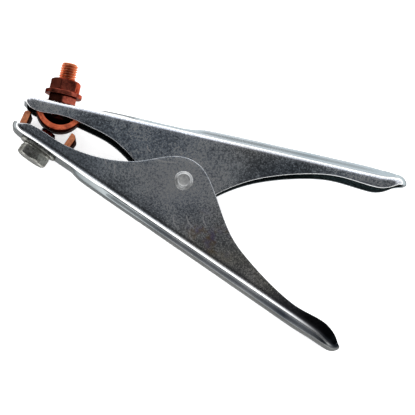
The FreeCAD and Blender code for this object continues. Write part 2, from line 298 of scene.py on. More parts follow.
def wall_rings(arm, inset, steps):
    """Rings down a cheek, from the fold to just short of its free edge."""
    outline = arm_outline(arm, inset)
    top_v = WEB_V - FOLD_R
    free = np.minimum(free_edge(arm["edge"], outline[:, 0]) + EDGE_R, top_v - 0.2)
    return [np.stack([outline[:, 0], top_v + (free - top_v) * t, outline[:, 1]], -1)
            for t in np.linspace(0, 1, steps)]


def edge_rings(arm, steps=4):
    """Rings round the sheet's free edge, from its outside face to its inside face."""
    turn = np.linspace(0, math.pi / 2, steps + 1)[1:]
    rounds = [(EDGE_R * (1 - math.cos(a)), EDGE_R * (1 - math.sin(a))) for a in turn]
    rounds += [(SHEET - inset, lift) for inset, lift in rounds[::-1]]
    rings = []
    for inset, lift in rounds:
        outline = arm_outline(arm, inset)
        free = np.minimum(free_edge(arm["edge"], outline[:, 0]), WEB_V - FOLD_R - 0.7) + lift
        rings.append(np.stack([outline[:, 0], free, outline[:, 1]], -1))
    return rings


def pressed_arm(name, arm, side, bored_u):
    rings = web_rings(arm, FOLD_R, WEB_V)
    rings += fold_rings(arm, 0.0, WEB_V, FOLD_R, 9)
    rings += wall_rings(arm, 0.0, 16)
    rings += edge_rings(arm)
    rings += wall_rings(arm, SHEET, 14)[::-1]
    rings += fold_rings(arm, SHEET, WEB_V - SHEET, FOLD_R - SHEET, 5)[::-1]
    rings += web_rings(arm, FOLD_R, WEB_V - SHEET)[::-1]
    for ring in rings:
        past = np.maximum(ring[:, 0] - FLICK_U, 0)
        ring[:, 1] += FLICK_SLOPE * past ** 2 / (past + FLICK_EASE)
    pressing = piece_from(name, *skin([placed(ring, side) for ring in rings], caps=False), 50.0)
    bore(pressing, placed([(bored_u, WEB_V, 0)], side)[0], placed([(bored_u, 0, 0)], side)[0], HOLE_R, 20.0)
    bore(pressing, PIVOT, PIVOT + np.array([0, 0, 1]), RIVET_R + 0.05, 80.0)
    return pressing


def bore(piece, centre, towards, radius, length):
    """Drills a round hole through a piece."""
    tool_mesh = bpy.data.meshes.new("drill")
    work = bmesh.new()
    axis = (Vector(towards) - Vector(centre)).normalized()
    place = Matrix.Translation(Vector(centre)) @ axis.to_track_quat("Z", "Y").to_matrix().to_4x4()
    bmesh.ops.create_cone(work, cap_ends=True, segments=64, radius1=radius * MM, radius2=radius * MM,
                          depth=length * MM, matrix=place)
    work.to_mesh(tool_mesh)
    work.free()
    tool = bpy.data.objects.new("drill", tool_mesh)
    bpy.context.scene.collection.objects.link(tool)
    cut = piece.modifiers.new("hole", "BOOLEAN")
    cut.operation = "DIFFERENCE"
    cut.solver = "EXACT"
    cut.object = tool
    apply_modifiers(piece)
    bpy.data.objects.remove(tool)
    piece.data.polygons.foreach_set("use_smooth", [True] * len(piece.data.polygons))
    piece.data.set_sharp_from_angle(angle=math.radians(50.0))


def apply_modifiers(piece):
    graph = bpy.context.evaluated_depsgraph_get()
    shaped = bpy.data.meshes.new_from_object(piece.evaluated_get(graph))
    piece.modifiers.clear()
    piece.data = shaped


# ---- turned and threaded pieces -----------------------------------------------------------------
def about_axis(radii_heights, angles, centre, along, out, side_dir):
    """Rings (radius, height) turned about an axis; radius may be an array over the angles."""
    rings = []
    for radius, height in radii_heights:
        r = np.broadcast_to(radius, angles.shape)
        rings.append(centre + np.outer(np.cos(angles) * r, out) + np.outer(np.sin(angles) * r, side_dir)
                     + np.asarray(along) * height)
    return rings


def on_stack(radii_heights, angles, centre_u, side):
    """Turned rings whose axis runs along v at centre_u. Height is v. Angle 0 points along w."""
    rings = about_axis(radii_heights, angles, np.array([centre_u, 0.0, 0.0]), np.array([0.0, 1.0, 0.0]),
                       np.array([0.0, 0.0, 1.0]), np.array([1.0, 0.0, 0.0]))
    return [placed(ring, side) for ring in rings]


def ring_shell(rings):
    """A closed tube-like shell: the rings' last is joined back to the first."""
    return skin(list(rings) + [rings[0]], caps=False)


def circle(count):
    return np.linspace(0, 2 * math.pi, count, endpoint=False)


def hex_angles():
    near_corner = [-9, -5, -2.6, -1.2, -0.4, 0.4, 1.2, 2.6, 5, 9, 14, 20, 26, 30, 34, 40, 46]
    return np.radians(np.array([60 * k + d for k in range(6) for d in near_corner]))


def hex_radius(angles, across_flats, sharpness=70.0):
    """A hexagon's radius with its corners slightly worn; corners lie at 0, 60, 120 degrees."""
    total = sum(np.clip(np.cos(angles - math.radians(30 + 60 * k)), 1e-6, 1) ** sharpness for k in range(6))
    return across_flats / 2 * total ** (-1 / sharpness)


def hex_nut_shell(v_low, v_high, bore_r, turn_deg):
    """A hexagon nut of the stud's stack, chamfered by cones at its faces, with a countersunk hole."""
    angles = hex_angles()
    flat = hex_radius(angles, NUT_AF)
    face_r = NUT_AF / 2 * 0.955
    slope = math.tan(math.radians(60))
    drop = np.array([0, 0.12, 0.3, 0.5, 0.7, 0.9, 1.15, 1.5])
    outside = [(np.minimum(flat, face_r + d * slope), v_low + d) for d in drop]
    outside += [(np.minimum(flat, face_r + d * slope), v_high - d) for d in drop[::-1]]
    sink = 0.55
    inside = [(bore_r + sink, v_high), (bore_r, v_high - sink),
              (bore_r, v_low + sink), (bore_r + sink, v_low)]
    rings = on_stack(outside + inside, angles + math.radians(turn_deg), STACK_U, 1)
    return ring_shell(rings)

def thread_shell(v_low, v_high, centre_u, side, tip_at_high=True, chamfer=1.1):
    """A right-hand M10 thread as one helical surface, with its first turns chamfered away."""
    angles = circle(80)
    steps = round((v_high - v_low) / THREAD_PITCH * 14)
    heights = np.linspace(v_low, v_high, steps + 1)
    hand = angles / (2 * math.pi)
    profile = []
    for v in heights:
        phase = (v / THREAD_PITCH - hand * side) % 1.0
        tooth = np.clip(1.25 - 2.6 * np.abs(phase - 0.5), 0.0, 1.0)
        tooth = eased(tooth * 0.92 + 0.04)
        radius = THREAD_R - THREAD_DEPTH * (1 - tooth)
        from_tip = v_high - v if tip_at_high else v - v_low
        radius = np.minimum(radius, THREAD_R - chamfer + from_tip)
        profile.append((radius, v))
    rings = on_stack(profile, angles, centre_u, side)
    return skin(rings)


def washer_shell(outer_r, bore_r, v_low, thickness, centre_u, side, round_r=0.35):
    """A stamped washer: rolled-over rim on one face, sharp burr side on the other."""
    angles = circle(112)
    v_high = v_low + thickness
    soft = [(outer_r - round_r * (1 - math.sin(a)), v_high - round_r * (1 - math.cos(a)))
            for a in np.linspace(0, math.pi / 2, 5)]
    hard = [(outer_r, v_low + 0.15), (outer_r - 0.15, v_low)]
    hole = [(bore_r + 0.15, v_low), (bore_r, v_low + 0.15), (bore_r, v_high - 0.25), (bore_r + 0.25, v_high)]
    return ring_shell(on_stack(soft + hard + hole, angles, centre_u, side))


def terminal_stud():
    under_head = WEB_V - SHEET - ARC_T
    angles = hex_angles()
    flat = hex_radius(angles, STUD_HEAD_AF)
    seat = WEB_V - SHEET
    domed = np.linspace(under_head - STUD_HEAD_T, under_head - 0.6, 14)
    profile = [(0.01, domed[0])]
    profile += [(np.minimum(flat, math.sqrt(STUD_HEAD_DOME_R ** 2 - (seat - v) ** 2)), v) for v in domed]
    profile += [(flat, under_head)]
    head = skin(on_stack(profile, angles, STACK_U, 1))
    thread = thread_shell(under_head - 0.5, STUD_END_V, STACK_U, 1)
    return joined("terminal_stud_threaded", [head, thread], 30.0)


def lower_bolt():
    under_head = WEB_V + FLAT_WASHER_T + SPRING_WASHER_T
    top = under_head + BOLT_HEAD_T
    angles = hex_angles() + math.radians(BOLT_HEAD_TURN)
    flat = hex_radius(hex_angles(), BOLT_HEAD_AF)
    face_r = BOLT_HEAD_AF / 2 * 0.93
    profile = [(flat * 0.97, under_head), (flat, under_head + 0.3)]
    drops = (1.6, 1.25, 1.0, 0.75, 0.5, 0.25, 0.08, 0)
    profile += [(np.minimum(flat, face_r + d * 1.73), top - d) for d in drops]
    dish = [(0.93, 0), (0.86, 0.12), (0.5, 0.16)]
    profile += [(face_r * share, top - deep) for share, deep in dish] + [(0.01, top - 0.16)]
    head = skin(on_stack(profile, angles, BOLT_U, -1))
    thread = thread_shell(BOLT_END_V, under_head + 0.5, BOLT_U, -1, tip_at_high=False, chamfer=0.9)
    return joined("contact_bolt_threaded", [head, thread], 30.0)


def spring_washer():
    """A split lock washer: a square wire ring with a slanted gap."""
    gap = math.radians(6.5)
    steps = 96
    middle_r = (SPRING_WASHER_R + HOLE_R) / 2
    half_w = (SPRING_WASHER_R - HOLE_R) / 2
    base_v = WEB_V + FLAT_WASHER_T
    corner = 0.3
    rings = []
    section = []
    for du, dv in ((1, 1), (-1, 1), (-1, -1), (1, -1)):
        for a in np.linspace(0, math.pi / 2, 4):
            turn = {(1, 1): 0, (-1, 1): 1, (-1, -1): 2, (1, -1): 3}[(du, dv)] * math.pi / 2 + a
            section.append((du * (half_w - corner) + corner * math.cos(turn),
                            dv * (SPRING_WASHER_T / 2 - corner) + corner * math.sin(turn)))
    for k in range(steps + 1):
        t = k / steps
        angle = math.pi / 2 + gap / 2 + t * (2 * math.pi - gap)
        ring = []
        for dr, dv in section:
            slant = dv * 0.35 / middle_r
            radius = middle_r + dr
            ring.append((BOLT_U + radius * math.sin(angle + slant),
                         base_v + SPRING_WASHER_T / 2 + dv, radius * math.cos(angle + slant)))
        rings.append(placed(ring, -1))
    return piece_from("split_lock_washer", *skin(rings), 35.0)


def rivet():
    """Rivet closed at both ends: flange, raised face with a worn rim, shallow dish."""
    angles = circle(96)
    half = LOWER["width"] / 2
    up = [(r, half + h) for r, h in RIVET_HEAD]
    profile = [(r, -z) for r, z in up[::-1]] + [(RIVET_R, -half), (RIVET_R, half)] + up
    rings = about_axis(profile, angles, np.zeros(3), np.array([0, 0, 1.0]), np.array([1.0, 0, 0]),
                       np.array([0, 1.0, 0]))
    return piece_from("pivot_rivet_closed", *skin([at_pivot(ring) for ring in rings]), 55.0)


# ---- copper contacts ----------------------------------------------------------------------------
def strip_section(thickness, width, corner, groove=0.0):
    """A strip's cross-section as (through, along w) points, with rolled corners and a shear line."""
    half_t, half_w = thickness / 2, width / 2
    points = []
    for sign_t, sign_w, start in ((1, 1, 0), (-1, 1, 1), (-1, -1, 2), (1, -1, 3)):
        for a in np.linspace(0, math.pi / 2, 4):
            turn = start * math.pi / 2 + a
            points.append((sign_t * (half_t - corner) + corner * math.cos(turn),
                           sign_w * (half_w - corner) + corner * math.sin(turn)))
        if start in (0, 2) and groove:
            points += [(sign_t * half_t * 0.18, sign_w * half_w), (0, sign_w * (half_w - groove)),
                       (-sign_t * half_t * 0.18, sign_w * half_w)]
    return np.array(points)


def swept_strip(path, normals, section):
    """Sweeps the section round a closed path of (u, v) points in the upper arm's frame."""
    rings = []
    for (u, v), (nu, nv) in zip(path, normals):
        rings.append(placed([(u + nu * t, v + nv * t, w) for t, w in section], 1))
    return ring_shell(rings)

def upper_contact():
    """Strip closed into a half round: the arc, two tight corners and the flat seat under the web."""
    seat = WEB_V - SHEET
    middle_r = ARC_R - ARC_T / 2
    corner = 1.7
    flat_v = seat - ARC_T / 2
    path, normals = [], []

    def add(u, v, nu, nv):
        path.append((STACK_U + u, v))
        normals.append((nu, nv))

    lowest = math.asin((ARC_T / 2 + corner) / (middle_r - corner))
    for a in np.linspace(-math.pi / 2, math.pi / 2, 61):
        turn = a * (math.pi / 2 - lowest) / (math.pi / 2)
        add(middle_r * math.sin(turn), seat - middle_r * math.cos(turn), math.sin(turn), -math.cos(turn))
    centre_u = (middle_r - corner) * math.cos(lowest)
    centre_v = seat - (middle_r - corner) * math.sin(lowest)
    for a in np.linspace(-lowest, math.pi / 2, 10)[1:]:
        add(centre_u + corner * math.cos(a), centre_v + corner * math.sin(a), math.cos(a), math.sin(a))
    for u in np.linspace(centre_u, -centre_u, 24)[1:]:
        add(u, flat_v, 0, 1)
    for a in np.linspace(math.pi / 2, math.pi + lowest, 10)[1:-1]:
        add(-centre_u + corner * math.cos(a), centre_v + corner * math.sin(a), math.cos(a), math.sin(a))
    section = strip_section(ARC_T, STRIP_WIDTH, 0.45, 0.16)
    verts, faces = swept_strip(path, normals, section)
    contact = piece_from("half_round_contact", verts, faces, 40.0)
    bore(contact, placed([(STACK_U, seat, 0)], 1)[0], placed([(STACK_U, 0, 0)], 1)[0], HOLE_R, 9.0)
    return contact


def lower_contact():
    """Saddle bent from thick strip: two prongs with rounded outer corners on a flat base."""
    seat = WEB_V - SHEET
    half = (PRONG_PITCH + PRONG_T) / 2
    inner = half - PRONG_T
    bend = 1.2

    def arc(cu, cv, radius, start, stop, steps=8):
        return [(cu + radius * math.cos(math.radians(a)), cv + radius * math.sin(math.radians(a)))
                for a in np.linspace(start, stop, steps)]

    r = PRONG_ROUND
    outline = arc(-half + r, seat - r, r, 90, 180) + arc(-half + r, PRONG_TIP_V + r, r, 180, 270)
    outline += arc(-inner - 0.5, PRONG_TIP_V + 0.5, 0.5, 270, 360, 4)
    outline += arc(-inner + bend, seat - PRONG_T - bend, bend, 180, 90, 5)
    outline += arc(inner - bend, seat - PRONG_T - bend, bend, 90, 0, 5)
    outline += arc(inner + 0.5, PRONG_ROOT_V + 0.5, 0.5, 180, 270, 4)
    outline += arc(half - r, PRONG_ROOT_V + r, r, 270, 360) + arc(half - r, seat - r, r, 0, 90)
    flat = np.array(outline)
    along_prong = (seat - PRONG_T - flat[:, 1]) / (seat - PRONG_T - PRONG_TIP_V)
    flat[:, 0] -= PRONG_SPLAY * np.clip(along_prong, 0, 1) * (flat[:, 0] < 0)
    centre = flat.mean(0)
    rings = []
    bevel = 0.45
    edge_next = np.roll(flat, -1, 0) - np.roll(flat, 1, 0)
    outward = np.stack([edge_next[:, 1], -edge_next[:, 0]], -1)
    outward /= np.linalg.norm(outward, axis=1, keepdims=True)
    if np.sum(outward * (flat - centre)) < 0:
        outward = -outward
    layers = [(bevel * (1 - math.sin(a)), -STRIP_WIDTH / 2 + bevel * (1 - math.cos(a)))
              for a in np.linspace(0, math.pi / 2, 5)]
    layers += [(pull, -w) for pull, w in layers[::-1]]
    for pull, w in layers:
        shrunk = flat - outward * pull
        turned_u = shrunk[:, 0] * math.cos(SADDLE_TURN) - w * math.sin(SADDLE_TURN)
        turned_w = shrunk[:, 0] * math.sin(SADDLE_TURN) + w * math.cos(SADDLE_TURN)
        rings.append(placed(np.stack([BOLT_U + turned_u, shrunk[:, 1], turned_w], -1), -1))
    saddle = piece_from("forked_saddle", *skin(rings), 40.0)
    bore(saddle, placed([(BOLT_U, seat, 0)], -1)[0], placed([(BOLT_U, 0, 0)], -1)[0], THREAD_R, 9.0)
    return saddle


# ---- torsion spring -----------------------------------------------------------------------------
def torsion_spring():
    """Spring wire: a leg under the lower handle, five close turns, a leg under the upper handle."""
    leg_u, leg_v = LEG_END
    reach = math.hypot(leg_u, leg_v)
    towards_tip = ARM_TILT + math.atan2(leg_v, leg_u)
    touch = towards_tip + math.acos(COIL_R / reach)
    length = COIL_TURNS * COIL_PITCH
    sweep = 2 * math.pi * (COIL_TURNS - 1) + 2 * touch
    angles = np.linspace(-touch, -touch + sweep, 380)
    coil = np.stack([COIL_R * np.cos(angles), COIL_R * np.sin(angles),
                     -length / 2 + length * (angles + touch) / sweep], -1)
    tip_x, tip_y = reach * math.cos(towards_tip), reach * math.sin(towards_tip)
    tips = [np.array([tip_x, side * tip_y, side * length / 2]) for side in (-1, 1)]
    lower_leg = [tips[0] + (coil[0] - tips[0]) * t for t in np.linspace(0, 1, 24)[:-1]]
    upper_leg = [coil[-1] + (tips[1] - coil[-1]) * t for t in np.linspace(0, 1, 24)[1:]]
    path = np.array(lower_leg + list(coil) + upper_leg)
    tangent = np.gradient(path, axis=0)
    tangent /= np.linalg.norm(tangent, axis=1, keepdims=True)
    side_dir = np.cross(np.array([0, 0, 1.0]), tangent)
    side_dir /= np.linalg.norm(side_dir, axis=1, keepdims=True)
    up_dir = np.cross(tangent, side_dir)
    around = circle(20)
    rings = []
    last = len(path) - 1
    ends = {0: 0.75, last: 0.75}
    for i, point in enumerate(path):
        radius = WIRE_R * ends.get(i, 1.0)
        rings.append(at_pivot(point + radius * (np.outer(np.cos(around), side_dir[i])
                                                + np.outer(np.sin(around), up_dir[i]))))
    return piece_from("torsion_spring_wire", *skin(rings), 60.0)


# ---- materials ----------------------------------------------------------------------------------
class Nodes:
    """A short way to write a node tree."""

    def __init__(self, name):
        self.material = bpy.data.materials.new(name)
        self.material.use_nodes = True
        self.tree = self.material.node_tree
        self.shader = self.tree.nodes["Principled BSDF"]
        self.place = self.add("ShaderNodeTexCoord").outputs["Object"]

    def add(self, kind, **settings):
        node = self.tree.nodes.new(kind)
        for key, value in settings.items():
            setattr(node, key, value)
        return node

    def link(self, a, b):
        self.tree.links.new(a, b)

    def scaled(self, scale, turn=(0, 0, 0), vector=None):
        node = self.add("ShaderNodeMapping")
        node.inputs["Scale"].default_value = scale
        node.inputs["Rotation"].default_value = turn
        self.link(vector or self.place, node.inputs["Vector"])
        return node.outputs["Vector"]

    def noise(self, scale, detail=3.0, rough=0.55, vector=None):
        node = self.add("ShaderNodeTexNoise")
        node.inputs["Scale"].default_value = scale
        node.inputs["Detail"].default_value = detail
        node.inputs["Roughness"].default_value = rough
        self.link(vector or self.place, node.inputs["Vector"])
        return node.outputs["Fac"]

    def ramp(self, value, stops):
        node = self.add("ShaderNodeValToRGB")
        ramp = node.color_ramp
        while len(ramp.elements) < len(stops):
            ramp.elements.new(0.5)
        for element, (at, colour) in zip(ramp.elements, stops):
            element.position = at
            element.color = (*colour, 1) if isinstance(colour, tuple) else (colour, colour, colour, 1)
        self.link(value, node.inputs["Fac"])
        return node.outputs["Color"]

    def remap(self, value, low, high, to_low, to_high):
        node = self.add("ShaderNodeMapRange")
        for key, number in (("From Min", low), ("From Max", high), ("To Min", to_low), ("To Max", to_high)):
            node.inputs[key].default_value = number
        self.link(value, node.inputs["Value"])
        return node.outputs["Result"]

    def math(self, operation, a, b):
        node = self.add("ShaderNodeMath", operation=operation)
        for socket, value in zip(node.inputs, (a, b)):
            if isinstance(value, (int, float)):
                socket.default_value = value
            else:
                self.link(value, socket)
        return node.outputs["Value"]

    def mix(self, factor, a, b, blend="MIX"):
        node = self.add("ShaderNodeMix", data_type="RGBA", blend_type=blend)
        for socket, value in ((node.inputs[0], factor), (node.inputs[6], a), (node.inputs[7], b)):
            if isinstance(value, (int, float)):
                socket.default_value = value
            elif isinstance(value, tuple):
                socket.default_value = (*value, 1)
            else:
                self.link(value, socket)
        return node.outputs[2]

    def bump(self, height, distance, strength=1.0, under=None):
        node = self.add("ShaderNodeBump")
        node.inputs["Distance"].default_value = distance
        node.inputs["Strength"].default_value = strength
        self.link(height, node.inputs["Height"])
        if under is not None:
            self.link(under, node.inputs["Normal"])
        return node.outputs["Normal"]

    def finish(self, colour, roughness, normal, metallic=1.0, edge_tint=1.0):
        self.link(colour, self.shader.inputs["Base Color"])
        self.link(roughness, self.shader.inputs["Roughness"])
        self.link(normal, self.shader.inputs["Normal"])
        self.shader.inputs["Metallic"].default_value = metallic
        self.shader.inputs["Specular Tint"].default_value = (edge_tint, edge_tint, edge_tint, 1)
        if metallic < 0.8:
            self.shader.inputs["Specular IOR Level"].default_value = 0.0
        return self.material


SCRATCHES = [(-46, -8, 9, -52), (-39, -11, 8, -55), (-14, 6, 16, 14), (20, -17, 7, -52), (12, -21, 9, -40),
             (28, 3, 9, -50), (-3, -30, 8, -48), (78, 36, 7, -62), (-60, 20, 5, -30), (60, -26, 6, 20),
             (24, -2, 7, -48), (31, -1, 5, -66), (-33, 1, 8, -44), (-26, 9, 6, -36), (4, -24, 8, -56),
             (16, -28, 7, -50), (-52, -2, 6, -60), (71, 33, 5, -30)]


def scratch_mask(n):
    """Thin straight scuffs at chosen places round the pivot: (x, y, length, direction in degrees)."""
    total = None
    for x, y, length, angle in SCRATCHES:
        node = n.add("ShaderNodeMapping", vector_type="TEXTURE")
        node.inputs["Location"].default_value = (PIVOT[0] + x * MM, PIVOT[1] + y * MM, 0)
        node.inputs["Rotation"].default_value = (0, 0, math.radians(angle))
        node.inputs["Scale"].default_value = (length * MM / 2, 0.52 * MM, 1)
        n.link(n.place, node.inputs["Vector"])
        split = n.add("ShaderNodeSeparateXYZ")
        n.link(node.outputs["Vector"], split.inputs[0])
        bend = n.math("MULTIPLY", n.math("POWER", n.math("ABSOLUTE", split.outputs["X"], 0), 2.0), 2.0)
        across = n.math("ABSOLUTE", n.math("SUBTRACT", split.outputs["Y"], bend), 0)
        along = n.remap(n.math("ABSOLUTE", split.outputs["X"], 0), 0.5, 1.0, 1.0, 0.0)
        line = n.math("MULTIPLY", n.remap(across, 0.3, 1.0, 1.0, 0.0), along)
        total = line if total is None else n.math("MAXIMUM", total, line)
    return total


def round_patch(n, x, y, inner, outer):
    """A mask: full within the inner radius of a place (mm from the pivot), gone at the outer."""
    away = n.add("ShaderNodeVectorMath", operation="DISTANCE")
    flat = n.scaled((1, 1, 0))
    n.link(flat, away.inputs[0])
    away.inputs[1].default_value = (PIVOT[0] + x * MM, PIVOT[1] + y * MM, 0)
    return n.remap(away.outputs["Value"], inner * MM, outer * MM, 1.0, 0.0)


# Round patches painted lighter or darker on the plating: painted highlights where the gain is above one,
# painted shade where it is below. (x, y, radius, gain), mm from the pivot.
LIGHT_AND_SHADE_PATCHES = [(101, 45, 38, 1.9), (-88, 22, 30, 1.7), (-18, 20, 48, 2.0), (8, -12, 34, 1.7),
         (-72, -8, 30, 0.65), (112, -50, 54, 0.06)]


# Places on the lower arm (x, y), in mm from the pivot, and the tones painted there. The film is a brown
# stain; the rib tone and the tip's black are painted light and shade, and so are the fold highlight and the
# dark of the channel's inside, used on both arms.
FILM_AT, BROAD_RIB, LOWER_TIP = (27.4, -24.3), (-56, -22), (116, -52)
BROAD_RIB_SHADING, TIP_SHADE = (0.30, 0.335, 0.345), (0.012, 0.014, 0.017)
FOLD_HIGHLIGHT, INSIDE_SHADE = (0.95, 0.96, 0.97), (0.05, 0.07, 0.07)

def zinc_plate(name, arm, fold_shading, flank, crown, edge_tint):
    """Zinc plating on a pressed arm: grained cheeks, a painted highlight on the folds and edges, painted
    light and shade on the web, painted shade inside the channel and at the lower handle's tip.
    """
    n = Nodes(name)
    grain = n.remap(n.noise(800, 3, 0.75), 0.38, 0.62, 0.0, 1.0)
    speck = n.remap(n.noise(1500, 2, 0.6), 0.44, 0.66, 0.0, 1.0)
    cloud = n.noise(28, 4, 0.6)
    patch = n.noise(9, 2, 0.5)
    hair = n.noise(60, 3, 0.6, n.scaled((1, 26, 1), (0, 0, math.radians(35))))
    tone = n.math("ADD", n.math("MULTIPLY", grain, 0.36), n.math("MULTIPLY", speck, 0.34))
    tone = n.math("ADD", tone, n.remap(cloud, 0.34, 0.66, 0.0, 0.38))
    colour = n.ramp(tone, [(0.15, (0.13, 0.14, 0.155)), (0.45, (0.39, 0.41, 0.43)),
                           (0.66, (0.76, 0.79, 0.81)), (0.88, (1.0, 1.0, 1.0))])
    tint = n.ramp(patch, [(0.36, (0.90, 0.98, 1.06)), (0.47, (1.0, 1.0, 1.0)), (0.56, (1.05, 0.98, 0.86)),
                          (0.66, (0.98, 0.93, 1.02))])
    colour = n.mix(1.0, colour, tint, "MULTIPLY")
    marks = n.math("MULTIPLY", scratch_mask(n), n.remap(grain, 0.3, 0.6, 0.5, 1.0))
    marks = n.math("MAXIMUM", marks, n.remap(hair, 0.68, 0.76, 0.0, 0.35))
    colour = n.mix(marks, colour, (1.0, 1.0, 1.0))
    blots = n.remap(n.noise(110, 3, 0.6), 0.42, 0.6, 0.0, 0.85)
    brown = n.math("MULTIPLY", round_patch(n, *FILM_AT, 6, 19), blots)
    film = n.ramp(n.noise(240, 2, 0.5), [(0.42, (0.30, 0.20, 0.10)), (0.6, (0.22, 0.17, 0.30))])
    colour = n.mix(brown, colour, film)
    # Painted highlights and painted shade: round patches where the plating's colour is scaled up or down.
    for x, y, outer, gain in LIGHT_AND_SHADE_PATCHES:
        colour = n.mix(round_patch(n, x, y, outer * 0.3, outer), colour,
                       n.mix(1.0, colour, (gain, gain, gain * 1.02), "MULTIPLY"))

    split = n.add("ShaderNodeSeparateXYZ")
    n.link(n.place, split.inputs[0])
    height = n.math("SUBTRACT", split.outputs["Z"], float(PIVOT[2]))
    facing = n.add("ShaderNodeSeparateXYZ")
    n.link(n.add("ShaderNodeNewGeometry").outputs["Normal"], facing.inputs[0])
    steep = n.math("ABSOLUTE", facing.outputs["Z"], 0)
    off_middle = n.math("ABSOLUTE", height, 0)
    web_half = (arm["width"] / 2 - FOLD_R) * MM
    on_web = n.remap(off_middle, web_half - 0.1 * MM, web_half + 0.25 * MM, 1.0, 0.0)
    # Painted light and shade along the folds, where the normal turns from the cheek towards the web: lighter
    # on the upper arm, darker on the lower.
    bend = n.math("MULTIPLY", n.ramp(steep, [(0.80, 0.0), (0.84, 1.0), (0.985, 1.0), (1.0, 0.0)]), 0.6)
    colour = n.mix(bend, colour, (fold_shading, fold_shading, fold_shading * 1.08))
    # Painted highlight: every face turned away from the cheek's facing, the folds, edges and nose walls, is
    # given a near-white colour.
    fold_highlight_mask = n.ramp(steep, [(0.0, 1.0), (0.74, 1.0), (0.82, 0.0)])
    # At the lower handle's tip the painted highlight is taken away, so the tip is painted dark as painted
    # shade.
    worn = n.math("MULTIPLY", round_patch(n, *LOWER_TIP, 8, 46), 0.85)
    fold_highlight_mask = n.math("MULTIPLY", fold_highlight_mask, n.math("SUBTRACT", 1.0, worn))
    colour = n.mix(fold_highlight_mask, colour, FOLD_HIGHLIGHT)
    # Painted light and shade on the web: its colour goes from the crown's to the flank's with the face's
    # steepness, and a flat grey covers the lower arm's broad rib near the jaw.
    web_shading = n.mix(n.remap(steep, 0.36, 0.60, 0.0, 1.0), crown, flank)
    if arm is LOWER:
        web_shading = n.mix(round_patch(n, *BROAD_RIB, 30, 66), web_shading, BROAD_RIB_SHADING)
    web_shading = n.mix(n.remap(cloud, 0.35, 0.65, 0.0, 0.22), web_shading, (0.9, 0.9, 0.9))
    colour = n.mix(on_web, colour, web_shading)
    # Painted shade: the lower handle's tip, mostly its steeper faces, is painted near black.
    tip = n.math("MULTIPLY", round_patch(n, *LOWER_TIP, 5, 21), n.remap(steep, 0.25, 0.6, 0.1, 1.0))
    colour = n.mix(n.math("MULTIPLY", tip, 0.98), colour, TIP_SHADE)
    # Painted shade: the cheeks' inner faces, turned towards the channel's middle, are painted dark.
    inside = n.remap(n.math("MULTIPLY", facing.outputs["Z"], height), -0.002, -0.008, 0.0, 0.93)
    colour = n.mix(inside, colour, INSIDE_SHADE)

    rough = n.math("ADD", n.remap(cloud, 0.3, 0.7, 0.17, 0.25), n.math("MULTIPLY", grain, 0.06))
    rough = n.math("ADD", rough, n.math("MULTIPLY", marks, 0.15))
    bumps = n.math("MULTIPLY", grain, n.remap(steep, 0.9, 0.98, 0.0, 1.0))
    normal = n.bump(bumps, 0.000009, 0.5, n.bump(cloud, 0.0001, 0.2))
    return n.finish(colour, rough, normal, edge_tint=edge_tint)


def metal(name, dark, light, rough, stain=None, metallic=1.0, shaded_side=None, edge_tint=1.0,
          other=None):
    """Plated or bare metal: fine grain, clouds, optional blots, a side painted darker as painted shade,
    another colour round one end.
    """
    n = Nodes(name)
    grain = n.noise(700, 4, 0.65)
    cloud = n.noise(85, 4, 0.6)
    tone = n.math("ADD", n.math("MULTIPLY", grain, 0.45), n.math("MULTIPLY", cloud, 0.55))
    colour = n.ramp(tone, [(0.34, dark), (0.66, light)])
    if stain:
        blot = n.noise(150, 3, 0.6)
        colour = n.mix(n.remap(blot, 0.5, 0.68, 0.0, 0.75), colour, stain)
    if other:
        centre, radius, end_colour = other
        x, y = (centre[:2] - PIVOT[:2]) / MM
        end = n.mix(tone, tuple(c * 0.4 for c in end_colour), tuple(c * 1.5 for c in end_colour))
        colour = n.mix(round_patch(n, x, y, radius, radius + 1.0), colour, end)
    # Painted shade: faces are darkened by how their normal lies to the given direction, from the clear value
    # to the full one.
    if shaded_side:
        direction, clear, full, film = shaded_side
        normal_in = n.add("ShaderNodeNewGeometry").outputs["Normal"]
        facing = n.add("ShaderNodeVectorMath", operation="DOT_PRODUCT")
        facing.inputs[1].default_value = direction
        n.link(normal_in, facing.inputs[0])
        shade = n.remap(facing.outputs["Value"], clear, full, 0.0, 0.88)
        colour = n.mix(shade, colour, film)
    roughness = n.remap(tone, 0.3, 0.7, rough - 0.07, rough + 0.09)
    return n.finish(colour, roughness, n.bump(grain, 0.00003, 0.5), metallic, edge_tint)


FLOOR_GLOW = 0.62


def floor_material():
    n = Nodes("pale_floor")
    soft = n.noise(6, 2, 0.5)
    colour = n.ramp(soft, [(0.3, (0.86, 0.86, 0.86)), (0.7, (0.88, 0.88, 0.88))])
    rough = n.remap(soft, 0.3, 0.7, 0.85, 0.95)
    n.link(colour, n.shader.inputs["Emission Color"])
    n.shader.inputs["Emission Strength"].default_value = FLOOR_GLOW
    return n.finish(colour, rough, n.bump(soft, 0.0001, 0.1), 0.0)


def painted(piece, material):
    piece.data.materials.clear()
    piece.data.materials.append(material)


# ---- camera, light and floor --------------------------------------------------------------------
ROLL = math.radians(23.1)
LEAN_LEFT, LEAN_DOWN = 0.087, 0.107
PX_PER_MM = 1.72
FRAME_PX = 415.0
CAMERA_FAR = 1.25
# Brightness by height, from the horizon up; flags as (right, down, fades from, darkest at).
SKY = [(0.0, 0.9), (0.12, 1.0), (0.50, 1.05), (0.66, 0.26), (0.80, 0.15), (0.95, 0.125)]
FLAGS = [(0.667, 0.745, 0.68, 0.92), (-1.0, 0.0, 0.56, 0.80)]
AIM_RIGHT, AIM_UP = 13.95, -15.6


